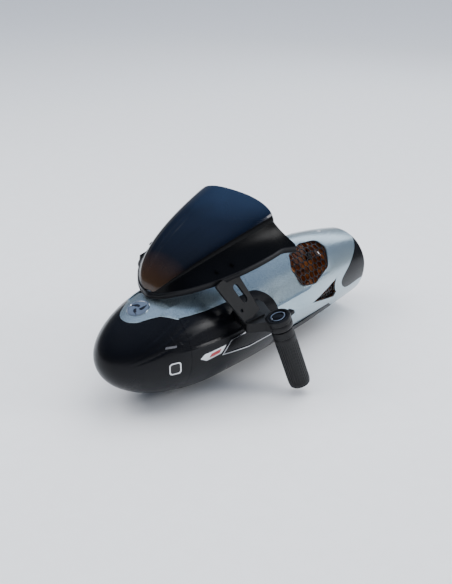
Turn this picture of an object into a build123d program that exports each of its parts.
from build123d import *
import os
from functools import cache
from math import acos, atan2, cos, hypot, pi, radians, sin, sqrt

# Underwater scooter, nose towards -Y, +Z up, +X is the rider's left. Millimetres.
# The origin is under the middle of the hull, on the surface that the belly pad rests on.

# Hull: a round-section body with an ellipsoid nose and a slowly tapering tail
LENGTH = 590.0
NOSE_Y = -LENGTH / 2
TAIL_Y = LENGTH / 2
HULL_HALF_WIDTH = 94.5
HULL_TOP_HEIGHT = 87.0
HULL_BELLY_DEPTH = 94.0
HULL_AXIS_Z = 97.0
SHOULDER_Y = -102.0
WIDEST_Y = -40.0
TAIL_HALF_WIDTH = 64.0
TAIL_TOP_DROP = 28.5
TAIL_BELLY_RISE = 18.7
NOSE_DROOP = 3.0
SKIN = 3.0
SECTION_POINTS = 16

# Where one casing ends and the next begins
SEAM_Y = -183.0
SEAM_GAP = 0.4
DECK_EDGE_Z = 156.0
POD_REAR_Y = 15.0
POD_CORNER_RADIUS = 50.0
SILVER_STEP = 2.5
KEEL_EDGE_Z = 52.0
COLLAR_WALL = 4.0
PLATE_PROUD = 0.6

# Drive line
SHAFT_Z = 98.0
SHAFT_RADIUS = 5.0
RUNNING_GAP = 0.05
DUCT_RADIUS = 54.0
DUCT_WALL = 3.0
DUCT_FRONT_Y = 196.0
DUCT_REAR_Y = 262.0
NOZZLE_RADIUS = 54.5
NOZZLE_BORE = 49.5
NOZZLE_REAR_Y = 294.0
MOTOR_FRONT_Y = 29.0
MOTOR_REAR_Y = 128.0
MOTOR_RADIUS = 38.0
MOTOR_BORE = 34.5
BEARING_RADIUS = 10.8
BEARING_LENGTH = 9.0
BEARING_FRONT_YS = (38.0, 117.0)
IMPELLER_Y = 218.0
IMPELLER_BLADES = 5
VANE_Y = 249.0
VANES = 6
HUB_RADIUS = 15.0
GUARD_FRONT_Y = 284.0
GUARD_REAR_Y = 290.0

# Battery
CASE_WIDTH = 84.0
CASE_FRONT_Y = -232.0
CASE_REAR_Y = -74.0
CASE_WALL = 2.5
BAY_CLEARANCE = 4.0
BAY_WALL = 3.0
CELL_RADIUS = 10.6
CELL_LENGTH = 70.0
CELL_PITCH = 24.0
TERMINAL_XS = (-12.0, 0.0, 12.0)
TERMINAL_RADIUS = 2.5

# Intake grille: its outline lies in a plane that faces out and up
GRILLE_TILT = 40.0
HEX_PITCH = 12.6
HEX_WEB = 1.3
GRILLE_THICKNESS = 1.8
SIDE_MESH_PITCH = 9.0
SIDE_MESH_RECESS = 2.6

# Grips
GRIP_TOP = (152.0, -60.0, 150.0)
GRIP_AXIS = (0.131, 0.292, -0.947)
GRIP_LENGTH = 138.0
GRIP_RADIUS = 18.0
HEAD_RADIUS = 20.5
HEAD_DEPTH = 22.0
BUTTON_RADIUS = 15.0

# Fittings on the nose and the belly
BADGE_Y = -215.0
BADGE_RADIUS = 16.0
PLATE_TIP_RADIUS = 28.0
RELEASE_Y = -211.0
RELEASE_Z = 88.0
PAD_HALF_WIDTH = 22.0
PAD_FRONT_Y = -120.0
PAD_REAR_Y = 60.0
PAD_TOP_Z = 12.0
PAD_CORNER_RADIUS = 10.0
TRIM_LINE = 1.8

# Windshield
SCREEN_FRONT_Y = -192.0
SCREEN_REAR_Y = 30.0
SCREEN_WALL = 3.0
RIM_HEIGHT = 10.0
BOLT_RADIUS = 2.0

NODES = {}


def hull_size(y):
    """Half-width, height above and depth below the hull's centre line, and that line's height."""
    aft = max(0.0, (y - WIDEST_Y) / (TAIL_Y - WIDEST_Y))
    fore = max(0.0, (SHOULDER_Y - y) / (SHOULDER_Y - NOSE_Y))
    taper = sqrt(max(0.0, 1.0 - fore**2))
    half_width = HULL_HALF_WIDTH - (HULL_HALF_WIDTH - TAIL_HALF_WIDTH) * aft**1.5
    above = HULL_TOP_HEIGHT - TAIL_TOP_DROP * aft**2.7
    below = HULL_BELLY_DEPTH - TAIL_BELLY_RISE * aft**1.6
    return half_width * taper, above * taper, below * taper, HULL_AXIS_Z - NOSE_DROOP * fore**2


def section(y, inset):
    """The hull's cross-section at y, moved in by inset."""
    half_width, above, below, axis_z = hull_size(y)
    points = []
    for step in range(SECTION_POINTS):
        angle = 2 * pi * step / SECTION_POINTS
        height = above if sin(angle) >= 0 else below
        points.append(Vector((half_width - inset) * cos(angle), y, axis_z + (height - inset) * sin(angle)))
    return make_face(Spline(*points, periodic=True))


@cache
def hull(inset, front=None, rear=TAIL_Y):
    """The solid inside the hull's surface moved in by inset, from front to rear."""
    shift = inset if callable(inset) else lambda y: inset
    tip = NOSE_Y + (inset if not callable(inset) else 0.0)
    stations = []
    if front is None:
        for degrees in (84, 76, 66, 54, 40, 24, 10):
            stations.append(SHOULDER_Y + (tip - SHOULDER_Y) * sin(radians(degrees)))
        front = SHOULDER_Y
    count = max(2, round((rear - front) / 56.0) + 1)
    stations += [front + (rear - front) * step / (count - 1) for step in range(count)]
    profiles = [section(y, shift(y)) for y in stations]
    if stations[0] < SEAM_Y and stations[0] < tip + 10:
        profiles.insert(0, Vertex(0, tip, HULL_AXIS_Z - NOSE_DROOP))
    return loft(profiles)


def prism_x(face, low=-200.0, high=200.0):
    """A (y, z) outline carried along X from low to high."""
    return extrude(Plane.YZ.offset(low) * face, high - low)


def prism_z(face, low=0.0, high=400.0):
    """An (x, y) outline carried up from low to high."""
    return extrude(Plane.XY.offset(low) * face, high - low)


def slab(y_low, y_high):
    """Everything between two cross planes."""
    return Pos(0, (y_low + y_high) / 2, 0) * Box(600, y_high - y_low, 900)


def tube_y(outer, inner, y_low, y_high, z=SHAFT_Z):
    """A round tube or, with no inner radius, a rod along the shaft line."""
    ring = Circle(outer)
    if inner > 0:
        ring -= Circle(inner)
    plane = Plane(origin=(0, y_low, z), x_dir=(-1, 0, 0), z_dir=(0, 1, 0))
    return extrude(plane * ring, y_high - y_low)


def block(x_low, x_high, y_low, y_high, z_low, z_high):
    """A box given by its limits."""
    centre = ((x_low + x_high) / 2, (y_low + y_high) / 2, (z_low + z_high) / 2)
    return Pos(*centre) * Box(x_high - x_low, y_high - y_low, z_high - z_low)


def square_tube(size, wall, y_low, y_high):
    """A square tube centred on the battery's line, open at both ends."""
    half = size / 2
    outer = block(-half, half, y_low, y_high, HULL_AXIS_Z - half, HULL_AXIS_Z + half)
    half -= wall
    return outer - block(-half, half, y_low - 1, y_high + 1, HULL_AXIS_Z - half, HULL_AXIS_Z + half)


def both_sides(name, shape, clear_of=None):
    """Adds a left piece and its mirror image on the right, which is also cut clear of another shape."""
    NODES[name + "_left"] = shape
    mirrored = mirror(shape, about=Plane.YZ)
    NODES[name + "_right"] = mirrored - clear_of if clear_of else mirrored


def largest_solid(shape):
    """The largest solid of a shape, without slivers."""
    return sorted(shape.solids(), key=lambda solid: solid.volume)[-1]


# ---------------------------------------------------------------- casings

def silver_inset(y):
    """The silver cover lies below the black pods and comes flush towards the tail."""
    blend = min(1.0, max(0.0, (y - 60.0) / 140.0))
    return SILVER_STEP * (1.0 - blend * blend * (3.0 - 2.0 * blend))


def silver_inner_inset(y):
    return silver_inset(y) + SKIN


def nose_plate_outline():
    """Plan of the plate on the nose: a round tip whose tangents widen towards the seam."""
    corner_x, corner_y = 38.0, -204.0
    centre_y = BADGE_Y - 1
    reach = hypot(corner_x, corner_y - centre_y)
    turn = atan2(corner_y - centre_y, corner_x) - acos(PLATE_TIP_RADIUS / reach)
    touch_x = PLATE_TIP_RADIUS * cos(turn)
    touch_y = centre_y + PLATE_TIP_RADIUS * sin(turn)
    tip = ThreePointArc((-touch_x, touch_y), (0, centre_y - PLATE_TIP_RADIUS), (touch_x, touch_y))
    sides = Polyline(
        (touch_x, touch_y),
        (corner_x, corner_y),
        (58, SEAM_Y),
        (-58, SEAM_Y),
        (-corner_x, corner_y),
        (-touch_x, touch_y),
    )
    return make_face(tip + sides)


def pod_outline():
    """Side view of the black pod: flat top edge, round upper rear corner."""
    bottom = -10.0
    centre_y = POD_REAR_Y - POD_CORNER_RADIUS
    corner = CenterArc((centre_y, DECK_EDGE_Z - POD_CORNER_RADIUS), POD_CORNER_RADIUS, 0, 90)
    rest = Polyline(
        (centre_y, DECK_EDGE_Z),
        (SEAM_Y - 5, DECK_EDGE_Z),
        (SEAM_Y - 5, bottom),
        (POD_REAR_Y, bottom),
        (POD_REAR_Y, DECK_EDGE_Z - POD_CORNER_RADIUS),
    )
    return make_face(corner + rest)


def keel_outline():
    """Side view of the black keel cover under the tail."""
    return make_face(
        Polyline((POD_REAR_Y, -10), (POD_REAR_Y, KEEL_EDGE_Z), (180, KEEL_EDGE_Z + 8), (208, 40),
                 (214, -10), close=True))


def shroud_outline():
    """Side view of the black tail flank: a tongue that reaches forward into the silver."""
    edge = Spline((300, 154), (262, 129), (229, 111), (210, 94), (222, 79), (252, 73), (300, 71))
    return make_face(edge + Line((300, 71), (300, 154)))


def side_vent_outline():
    """Side view of the three-cornered vent ahead of the shroud."""
    return make_face(
        Polyline((118, 86), (193, 109)) + ThreePointArc((193, 109), (187, 95), (195, 80))
        + Polyline((195, 80), (189, 71), (118, 86)))


def grille_plane():
    """The plane that the grille outline is drawn in: its x is along the hull, its y up the flank."""
    tilt = radians(GRILLE_TILT)
    return Plane(origin=(0, 0, HULL_AXIS_Z + 3), x_dir=(0, 1, 0), z_dir=(cos(tilt), 0, sin(tilt)))


def grille_outline(grow=0.0):
    """The grille's rounded outline, made larger all round by grow."""
    corners = Polyline((80, 4), (100, 31), (146, 43), (190, 38), (197, 16), (176, -18), (128, -36),
                       (92, -31), close=True)
    face = fillet(make_face(corners).vertices(), 13.0)
    return offset(face, grow) if grow else face


def make_casings():
    skin_outer = hull(0.0)
    skin_inner = hull(SKIN)
    skin = skin_outer - skin_inner
    silver = hull(silver_inset, SEAM_Y - 7) - hull(silver_inner_inset, SEAM_Y - 8, TAIL_Y + 1)
    nose_zone = slab(NOSE_Y - 10, SEAM_Y)
    body_zone = slab(SEAM_Y + SEAM_GAP, TAIL_Y + 10)
    plate_zone = prism_z(nose_plate_outline(), 120.0)
    pod_zone = prism_x(pod_outline())
    keel_zone = prism_x(keel_outline())
    shroud_zone = prism_x(shroud_outline())
    vent_zone = prism_x(side_vent_outline())
    badge = badge_plane() * Pos(0, 0, -5) * Cylinder(BADGE_RADIUS + 2.6, 40)
    release = release_plane() * extrude(RectangleRounded(20.4, 20.4, 5), 12, both=True)
    release_right = mirror(release, about=Plane.YZ)

    NODES["nose_shell"] = (skin & nose_zone) - plate_zone - release - release_right
    NODES["nose_plate"] = ((hull(-PLATE_PROUD) - skin_inner) & nose_zone & plate_zone) - badge
    NODES["body_shell"] = skin & body_zone & pod_zone
    NODES["keel_cover"] = skin & keel_zone
    cover = (silver & body_zone) - pod_zone - keel_zone - shroud_zone - vent_zone
    cover -= mirror(vent_zone, about=Plane.YZ)
    opening = extrude(grille_plane() * grille_outline(), 160)
    cover -= opening
    cover -= mirror(opening, about=Plane.YZ)
    NODES["upper_cover"] = cover

    tail_wall = (skin & slab(205.0, TAIL_Y)) & shroud_zone
    rear_zone = slab(288.0, 292.0)
    rear_plate = hull(SKIN + 0.2, 200.0, TAIL_Y) & rear_zone
    rear_plate += hull(1.0, 200.0, TAIL_Y) & rear_zone & shroud_zone
    nozzle = tube_y(NOZZLE_RADIUS, NOZZLE_BORE, DUCT_REAR_Y + 1, NOZZLE_REAR_Y)
    NODES["tail_shroud"] = tail_wall + ((rear_plate - tube_y(52.0, 0, 280, 300)) + nozzle)

    pad = block(-PAD_HALF_WIDTH, PAD_HALF_WIDTH, PAD_FRONT_Y, PAD_REAR_Y, 0.0, PAD_TOP_Z)
    pad = fillet(pad.edges().filter_by(Axis.Z), PAD_CORNER_RADIUS)
    NODES["belly_pad"] = largest_solid(pad - skin_outer)

    grille_skin = hull(SILVER_STEP, 60.0, 215.0) - hull(SILVER_STEP + GRILLE_THICKNESS, 59.0, 216.0)
    grille = grille_skin & extrude(grille_plane() * grille_outline(-0.3), 160)
    holes = hex_prisms(grille_plane(), offset(grille_outline(), -1.2), (137.0, 3.0), HEX_PITCH)
    both_sides("intake_grille", grille - holes)
    recess = SKIN + SIDE_MESH_RECESS
    mesh_skin = hull(recess, 100.0, 215.0) - hull(recess + GRILLE_THICKNESS, 99.0, 216.0)
    mesh = mesh_skin & prism_x(offset(side_vent_outline(), 3.0), 20.0, 120.0)
    both_sides("side_mesh", mesh - hex_prisms(Plane.YZ, side_vent_outline(), (160.0, 90.0), SIDE_MESH_PITCH))


def hex_prisms(plane, rim, centre, pitch):
    """Honeycomb holes inside a rim drawn in a plane."""
    cells = []
    for row in range(-5, 6):
        for column in range(-8, 9):
            x = centre[0] + (column + 0.5 * (row % 2)) * pitch
            y = centre[1] + row * pitch * sqrt(3) / 2
            hexagon = RegularPolygon((pitch - HEX_WEB) / 2, 6, major_radius=False)
            inside = (Pos(x, y) * Rot(0, 0, 30) * hexagon) & rim
            if inside and inside.area > pitch:
                cells.append(extrude(plane * inside, 160))
    return cells


# ---------------------------------------------------------------- nose fittings

def badge_plane():
    _, above, _, axis_z = hull_size(BADGE_Y)
    fore = (SHOULDER_Y - BADGE_Y) / (SHOULDER_Y - NOSE_Y)
    slope = HULL_TOP_HEIGHT * fore / (sqrt(1 - fore**2) * (SHOULDER_Y - NOSE_Y))
    return Plane(origin=(0, BADGE_Y, axis_z + above), x_dir=(1, 0, 0), z_dir=(0, -slope, 1))


def release_plane():
    """Touches the nose flank at the release button, z outwards."""
    half_width = hull_size(RELEASE_Y)[0]
    fore = (SHOULDER_Y - RELEASE_Y) / (SHOULDER_Y - NOSE_Y)
    slope = HULL_HALF_WIDTH * fore / (sqrt(1 - fore**2) * (SHOULDER_Y - NOSE_Y))
    return Plane(origin=(half_width - 0.6, RELEASE_Y, RELEASE_Z), x_dir=(slope, 1, 0), z_dir=(1, -slope, 0))


def make_nose_fittings():
    plane = badge_plane()
    medallion = plane * Pos(0, 0, -2.0) * Cylinder(BADGE_RADIUS + 2.5, 5)
    NODES["nose_badge"] = medallion - plane * Pos(0, 0, 2.0) * Cylinder(BADGE_RADIUS, 5)

    plane = release_plane()
    frame = RectangleRounded(20.2, 20.2, 5) - RectangleRounded(16.2, 16.2, 3.6)
    both_sides("release_frame", extrude(plane * Pos(0, 0, -4.0) * frame, 5.2))
    button = extrude(plane * Pos(0, 0, -5.0) * RectangleRounded(15.5, 15.5, 3.3), 5.4)
    stem = plane * Pos(0, 0, -8.0) * Cylinder(4.0, 6.4)
    both_sides("release_button", button + stem)

    collar = SKIN + SILVER_STEP + COLLAR_WALL
    plug = hull(SKIN + 0.3, -200.0, -165.0) & slab(-190.0, SEAM_Y)
    plug += hull(collar + 0.6, -200.0, -165.0) & slab(SEAM_Y - 2, -171.0)
    groove_y = (-179.5, -176.0)
    rim_cut = hull(0.0, -200.0, -165.0) - hull(collar + 3.2, -201.0, -164.0)
    plug -= rim_cut & slab(*groove_y)
    half = CASE_WIDTH / 2 + 0.2
    plug -= block(-half, half, -200, -160, HULL_AXIS_Z - half, HULL_AXIS_Z + half)
    NODES["nose_bulkhead"] = plug
    seal = hull(collar + 0.4, -200.0, -165.0) - hull(collar + 3.1, -201.0, -164.0)
    NODES["nose_seal"] = seal & slab(groove_y[0] + 0.4, groove_y[1] - 0.4)


# ---------------------------------------------------------------- battery

def make_battery():
    case = square_tube(CASE_WIDTH, CASE_WALL, CASE_FRONT_Y, CASE_REAR_Y)
    half = CASE_WIDTH / 2 - 1.0
    for y in (CASE_FRONT_Y, CASE_REAR_Y - CASE_WALL):
        case += block(-half, half, y, y + CASE_WALL, HULL_AXIS_Z - half, HULL_AXIS_Z + half)
    pins = []
    for x in TERMINAL_XS:
        case -= Pos(x, 0, 0) * tube_y(TERMINAL_RADIUS, 0, CASE_REAR_Y - 8, CASE_REAR_Y + 1, HULL_AXIS_Z)
        pins.append(Pos(x, 0, 0) * tube_y(TERMINAL_RADIUS, 0, CASE_REAR_Y - 3, CASE_REAR_Y + 6, HULL_AXIS_Z))
    NODES["battery_case"] = case
    NODES["battery_terminals"] = Compound(pins)

    cells = []
    for bank_y in (CASE_FRONT_Y + 5.0, CASE_FRONT_Y + 9.0 + CELL_LENGTH):
        for column in (-1, 0, 1):
            for row in (-1, 0, 1):
                cell = tube_y(CELL_RADIUS, 0, bank_y, bank_y + CELL_LENGTH, HULL_AXIS_Z + row * CELL_PITCH)
                cells.append(Pos(column * CELL_PITCH, 0, 0) * cell)
    NODES["battery_cells"] = Compound(cells)

    bay_width = CASE_WIDTH + 2 * BAY_CLEARANCE
    bay = square_tube(bay_width, BAY_WALL, -168.0, CASE_REAR_Y + 12.0)
    half = bay_width / 2 - 1
    bay += block(-half, half, CASE_REAR_Y + 9, CASE_REAR_Y + 12, HULL_AXIS_Z - half, HULL_AXIS_Z + half)
    room = SKIN + SILVER_STEP + 0.3
    flange = hull(room, -190.0, -150.0) & slab(-169.0, -165.0)
    inner = CASE_WIDTH / 2 + 1
    flange -= block(-inner, inner, -180, -140, HULL_AXIS_Z - inner, HULL_AXIS_Z + inner)
    ring = hull(room, -190.0, -150.0) - hull(SKIN + SILVER_STEP + COLLAR_WALL, -191.0, -149.0)
    NODES["battery_bay"] = bay + flange + (ring & slab(SEAM_Y + 0.6, -165.0))

    socket = block(-20, 20, CASE_REAR_Y + 1, CASE_REAR_Y + 9, HULL_AXIS_Z - 8, HULL_AXIS_Z + 8)
    for x in TERMINAL_XS:
        hole = tube_y(TERMINAL_RADIUS + 0.4, 0, CASE_REAR_Y, CASE_REAR_Y + 7.5, HULL_AXIS_Z)
        socket -= Pos(x, 0, 0) * hole
    NODES["battery_socket"] = socket


# ---------------------------------------------------------------- drive

def fan(hub_radius, tip_radius, blades, y, chord, thickness, pitch):
    """A hub with flat blades turned by pitch about their own spokes."""
    length = tip_radius - hub_radius + 2.0
    middle_z = SHAFT_Z + hub_radius - 2.0 + length / 2
    blade = Pos(0, y, middle_z) * Rot(0, 0, pitch) * Box(thickness, chord, length)
    trim = tube_y(tip_radius, 0, y - chord, y + chord)
    shape = tube_y(hub_radius, 0, y - chord / 2 - 2, y + chord / 2 + 2)
    axis = Axis((0, 0, SHAFT_Z), (0, 1, 0))
    for number in range(blades):
        shape += (blade & trim).rotate(axis, number * 360.0 / blades)
    return shape


def make_drive():
    plate = hull(SKIN + SILVER_STEP + 0.3, 0.0, 60.0) & slab(24.0, 29.0)
    NODES["motor_bulkhead"] = plate - tube_y(30.0, 0, 10, 40)

    can = tube_y(MOTOR_RADIUS, MOTOR_BORE, MOTOR_FRONT_Y, MOTOR_REAR_Y)
    can += tube_y(MOTOR_RADIUS - 2, SHAFT_RADIUS + 6.0, MOTOR_REAR_Y, MOTOR_REAR_Y + 5)
    can += tube_y(MOTOR_RADIUS, 10.0, MOTOR_FRONT_Y, MOTOR_FRONT_Y + 4)
    for step in range(7):
        fin_y = MOTOR_FRONT_Y + 15.0 + step * 10.0
        can += tube_y(MOTOR_RADIUS + 3, MOTOR_RADIUS - 1, fin_y, fin_y + 3)
    NODES["motor_can"] = can
    stator = tube_y(34.3, 24.0, 52.0, 110.0)
    teeth = []
    for number in range(12):
        slot = block(-2.0, 2.0, 50.0, 112.0, SHAFT_Z + 22.0, SHAFT_Z + 30.0)
        teeth.append(slot.rotate(Axis((0, 0, SHAFT_Z), (0, 1, 0)), number * 30.0))
    NODES["motor_stator"] = stator - teeth
    NODES["motor_rotor"] = tube_y(22.6, SHAFT_RADIUS, 54.0, 108.0)
    NODES["drive_shaft"] = tube_y(SHAFT_RADIUS, 0, 36.0, 246.0)
    bearings = []
    carriers = []
    for y in BEARING_FRONT_YS:
        bearings.append(tube_y(BEARING_RADIUS, SHAFT_RADIUS + RUNNING_GAP, y, y + BEARING_LENGTH))
        carriers.append(tube_y(MOTOR_BORE - 0.2, BEARING_RADIUS, y, y + BEARING_LENGTH))
    NODES["motor_bearings"] = Compound(bearings)
    NODES["bearing_carriers"] = Compound(carriers)
    seal_bore = SHAFT_RADIUS + RUNNING_GAP
    NODES["shaft_seal"] = tube_y(SHAFT_RADIUS + 5.9, seal_bore, MOTOR_REAR_Y - 1, MOTOR_REAR_Y + 5)

    impeller = fan(HUB_RADIUS, DUCT_RADIUS - 1.5, IMPELLER_BLADES, IMPELLER_Y, 26.0, 3.0, 38.0)
    NODES["impeller"] = impeller - tube_y(SHAFT_RADIUS, 0, 190, 250)
    duct = tube_y(DUCT_RADIUS + DUCT_WALL, DUCT_RADIUS, DUCT_FRONT_Y, DUCT_REAR_Y)
    NODES["pump_duct"] = duct & hull(SKIN + 0.3, 190.0, 270.0)
    vanes = fan(HUB_RADIUS, DUCT_RADIUS - 0.02, VANES, VANE_Y, 18.0, 2.6, 8.0)
    NODES["guide_vanes"] = vanes - tube_y(SHAFT_RADIUS + RUNNING_GAP, 0, 230, 248)
    guard = tube_y(9.0, 0, GUARD_FRONT_Y, GUARD_REAR_Y)
    for outer, inner in ((NOZZLE_BORE - 0.2, 46.5), (28.0, 25.0)):
        guard += tube_y(outer, inner, GUARD_FRONT_Y, GUARD_REAR_Y)
    for number in range(6):
        spoke = block(-1.5, 1.5, GUARD_FRONT_Y, GUARD_REAR_Y, SHAFT_Z + 7.0, SHAFT_Z + 47.5)
        guard += spoke.rotate(Axis((0, 0, SHAFT_Z), (0, 1, 0)), number * 60.0)
    NODES["outlet_guard"] = guard

    box = block(-38, 38, -48, 14, HULL_AXIS_Z - 22, HULL_AXIS_Z + 18)
    box -= block(-35, 35, -45, 11, HULL_AXIS_Z - 19, HULL_AXIS_Z + 15)
    for step in range(8):
        x = -35.0 + step * 10.0
        box += block(x - 1.5, x + 1.5, -48, 14, HULL_AXIS_Z + 18, HULL_AXIS_Z + 26)
    NODES["controller_case"] = box


# ---------------------------------------------------------------- side trims

def trim_strip(face):
    """A thin strip that lies on the left flank inside a side-view outline."""
    return (hull(-0.8, -175.0, 14.9) - hull(0.0)) & prism_x(face, 40.0, 120.0)


def make_trims():
    badge = make_face(Polyline((-168, 91), (-160, 97), (-116, 99), (-126, 87), (-156, 84), close=True))
    outer = make_face(Polyline((-124, 82), (-106, 103), (-60, 106), (8, 101), (14, 92), (4, 72), (-60, 72),
                               close=True))
    both_sides("side_badge", trim_strip(badge), clear_of=hull(0.0))
    both_sides("side_frame", trim_strip(outer - offset(outer, -TRIM_LINE)), clear_of=hull(0.0))


# ---------------------------------------------------------------- grips

def grip_plane():
    """z runs down the grip from the centre of its cap, y towards the tail."""
    axis = Vector(*GRIP_AXIS).normalized()
    across = Vector(0, 1, 0).cross(axis)
    return Plane(origin=GRIP_TOP, x_dir=across, z_dir=axis)


def grip_tube(outer, inner, low, high):
    ring = Circle(outer)
    if inner > 0:
        ring -= Circle(inner)
    return extrude(grip_plane() * Pos(0, 0, low) * ring, high - low)


def grip_block(x_low, x_high, y_low, y_high, z_low, z_high):
    return grip_plane() * block(x_low, x_high, y_low, y_high, z_low, z_high)


def make_arm():
    outline = make_face(Polyline((70, -84), (104, -92), (129, -106), (146, -80), (166, -70), (150, -44),
                                 (124, -46), (96, -30), (70, -26), close=True))
    arm = prism_z(outline, 128.0, 144.0)
    arm = fillet(arm.edges().filter_by(Axis.Z).sort_by(Axis.X)[2:], 4.0)
    arm -= hull(0.0)
    arm -= grip_tube(HEAD_RADIUS, 0, -20, 60)
    arm -= grip_block(-10, 10, 8, 60, -10, 40)
    return largest_solid(arm)


def make_grips():
    head = grip_tube(HEAD_RADIUS, 0, 0, HEAD_DEPTH)
    head = fillet(head.edges().group_by(Axis.Z)[-1], 2.0)
    head -= grip_tube(BUTTON_RADIUS + 0.4, 0, -1, 10.0)
    head -= grip_block(-6.0, 6.0, 10.0, 26.0, 6.0, 21.0)
    pin_plane = grip_plane() * Plane(origin=(0, 16.0, 13.0), x_dir=(0, 1, 0), z_dir=(1, 0, 0))
    pin_hole = extrude(pin_plane * Circle(1.5), 9.0, both=True)
    head -= pin_hole
    both_sides("grip_head", head)
    lever = grip_block(-5.4, 5.4, 12.8, 33.0, 10.4, 15.6)
    lever = fillet(lever.edges().filter_by(GeomType.LINE).sort_by(Axis.Y)[-4:], 1.2)
    lever -= extrude(pin_plane * Circle(1.56), 9.0, both=True)
    both_sides("thumb_lever", lever)
    pin = extrude(pin_plane * Circle(1.5), 8.6, both=True)
    NODES["lever_pins"] = Compound([pin, mirror(pin, about=Plane.YZ)])

    button = grip_tube(BUTTON_RADIUS, 0, 0.6, 6.0)
    both_sides("grip_button", button)
    both_sides("grip_core", grip_tube(13.0, 10.0, HEAD_DEPTH, GRIP_LENGTH - 6))
    both_sides("grip_sleeve", grip_tube(GRIP_RADIUS, 13.0, HEAD_DEPTH + 1, GRIP_LENGTH - 4))
    cap = grip_tube(GRIP_RADIUS - 0.5, 0, GRIP_LENGTH - 4, GRIP_LENGTH)
    cap += grip_tube(10.0, 0, GRIP_LENGTH - 14, GRIP_LENGTH - 4)
    NODES["grip_end_caps"] = Compound([cap, mirror(cap, about=Plane.YZ)])
    both_sides("grip_arm", make_arm(), clear_of=hull(0.0))


# ---------------------------------------------------------------- windshield

def screen_shape(y):
    """Corner points of the screen's left half at y: lower edge, crease, shoulder and top."""
    reach = min(1.0, max(0.0, 1.0 - y / SCREEN_FRONT_Y))
    flare = 0.3 * max(0.0, y)
    low = (10.0 + 96.0 * sin(pi / 2 * reach**0.6) + flare, rim_bottom(y) + RIM_HEIGHT)
    crease = (8.0 + 76.0 * reach**0.4, 188.0 + 83.0 * reach**0.55)
    top = 190.0 + 116.0 * reach**0.5
    shoulder = (crease[0] * 0.66, crease[1] + (top - crease[1]) * 0.86)
    return low, crease, shoulder, top


def rim_bottom(y):
    """Height of the rim's lower edge."""
    reach = min(1.0, max(0.0, 1.0 - y / SCREEN_FRONT_Y))
    return 178.0 + 46.0 * reach**0.7 - 0.1 * max(0.0, y)


def screen_section(y, wall):
    """The filled section under the screen; with a wall it is the hollow behind that wall."""
    low, crease, shoulder, top = screen_shape(y - wall)
    low = (low[0] - wall * 0.8, low[1] - wall)
    crease = (crease[0] - wall * 0.8, crease[1] - wall * 0.7)
    shoulder = (shoulder[0] - wall * 0.5, shoulder[1] - wall * 0.9)
    left = [(-x, z) for x, z in (crease, shoulder)]
    dome = Spline(*left, (0, top - wall), shoulder, crease)
    sides = Polyline(crease, low, (-low[0], low[1]), left[0])
    plane = Plane(origin=(0, y, 0), x_dir=(1, 0, 0), z_dir=(0, -1, 0))
    return plane * make_face(dome + sides)


def rim_section(y, wall):
    """A full-width bar at the rim's height, narrowed by the wall."""
    width = 2 * (screen_shape(y - wall)[0][0] - wall * 0.8)
    grow = 1.0 if wall else 0.0
    middle = rim_bottom(y) + RIM_HEIGHT / 2 - 0.05
    plane = Plane(origin=(0, y, middle), x_dir=(1, 0, 0), z_dir=(0, -1, 0))
    return plane * Rectangle(width, RIM_HEIGHT - 0.1 + 4 * grow)


def screen_stations(front):
    """Cross planes, close together near the beak."""
    stations = [front * (1 - (step / 7) ** 1.8) for step in range(8)]
    return stations + [SCREEN_REAR_Y / 2, SCREEN_REAR_Y]


def make_windshield():
    outer = screen_stations(SCREEN_FRONT_Y)
    inner = screen_stations(SCREEN_FRONT_Y + SCREEN_WALL + 0.5)
    screen = loft([screen_section(y, 0.0) for y in outer])
    screen -= loft([screen_section(y, SCREEN_WALL) for y in inner])
    rim = loft([rim_section(y, 0.0) for y in outer]) - loft([rim_section(y, SCREEN_WALL) for y in inner])
    # the trailing edge slopes back from the top centre to the lower corners
    edge = Polyline(
        (-220, 150),
        (-220, 330),
        (0, 330),
        (0, 300),
        (3, 271),
        (26, 236),
        (26, 222),
        (10, 210),
        (10, 150),
        close=True,
    )
    keep = prism_x(make_face(edge))
    rim = rim & keep
    screen = screen & keep
    bracket, bolts = make_bracket()
    NODES["windshield"] = largest_solid(screen - bolts)
    NODES["windshield_rim"] = largest_solid(rim)
    NODES["windshield_bolts"] = Compound(bolts)
    bracket = bracket - NODES["grip_arm_left"] - screen - rim
    both_sides("windshield_bracket", largest_solid(bracket))


def bracket_plane():
    """Lies in the sloping plate: x along the hull, y up the plate."""
    down = Vector(33.0, 21.5, -54.5).normalized()
    along = (Vector(0, 1, 0) - down * down.Y).normalized()
    return Plane(origin=(91.5, -104.0, 197.0), x_dir=along, z_dir=along.cross(down * -1))


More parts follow.
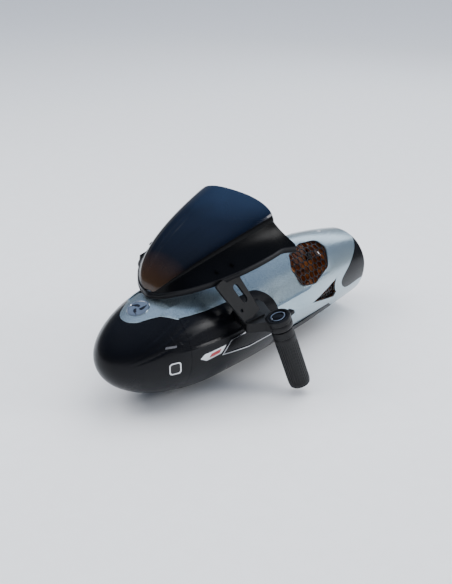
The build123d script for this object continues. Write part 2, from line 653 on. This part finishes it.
def panel_seat():
    """A plane on the screen's side panel above the bracket: z outwards, x aft."""
    y = -104.0
    share = 0.3
    points = []
    for place in (y - 8, y, y + 8):
        low, crease = screen_shape(place)[:2]
        across = low[0] + share * (crease[0] - low[0])
        height = low[1] + share * (crease[1] - low[1])
        points.append(Vector(across, place, height))
    low, crease = screen_shape(y)[:2]
    up = Vector(crease[0] - low[0], 0, crease[1] - low[1])
    aft = points[2] - points[0]
    return Plane(origin=points[1], x_dir=aft, z_dir=aft.cross(up) * (1 if aft.cross(up).X > 0 else -1))


def make_bracket():
    """A slotted plate with a tab under the screen's side panel and a foot on the grip arm."""
    plate = make_face(Polyline((-25, 16), (25, 16), (25, 0), (19, -62), (-20, -62), (-25, 0), close=True))
    plate -= Pos(6, -20) * Rot(0, 0, 90) * SlotOverall(34, 12)
    plate -= Pos(-12, -41) * Circle(3.0)
    shape = extrude(bracket_plane() * plate, 1.8, both=True)
    shape += block(114, 129, -104, -64, 144.0, 147.0)
    seat = panel_seat()
    shape += extrude(seat * Pos(0, 0, -7.5) * RectangleRounded(44, 24, 4), 3.0)
    bolts = []
    for along in (-14.0, 14.0):
        bolt = seat * Pos(along, 3, -2.2) * Cylinder(BOLT_RADIUS, 9.0)
        bolt += seat * Pos(along, 3, 3.0) * Cylinder(3.4, 2.0)
        bolts.append(bolt)
        shape -= seat * Pos(along, 3, -4) * Cylinder(BOLT_RADIUS + 0.1, 14.0)
    bolts += [mirror(bolt, about=Plane.YZ) for bolt in bolts]
    return largest_solid(shape), bolts


def make_screws():
    """Countersunk screws that hold the upper cover and the keel cover."""
    screws = []
    for x, y in ((0, -150), (0, 20), (0, 230)):
        _, above, _, axis_z = hull_size(y)
        top = axis_z + above - silver_inset(y)
        screw = Pos(x, y, top - 0.9) * Cylinder(4.0, 2.4) + Pos(x, y, top - 6) * Cylinder(1.8, 9)
        screws.append(screw)
    NODES["cover_screws"] = Compound(screws)
    for screw in screws:
        NODES["upper_cover"] -= screw


def main():
    make_casings()
    make_nose_fittings()
    make_battery()
    make_drive()
    make_trims()
    make_grips()
    make_windshield()
    make_screws()
    os.makedirs("parts", exist_ok=True)
    for name, shape in NODES.items():
        export_step(shape, "parts/" + name + ".step")


main()
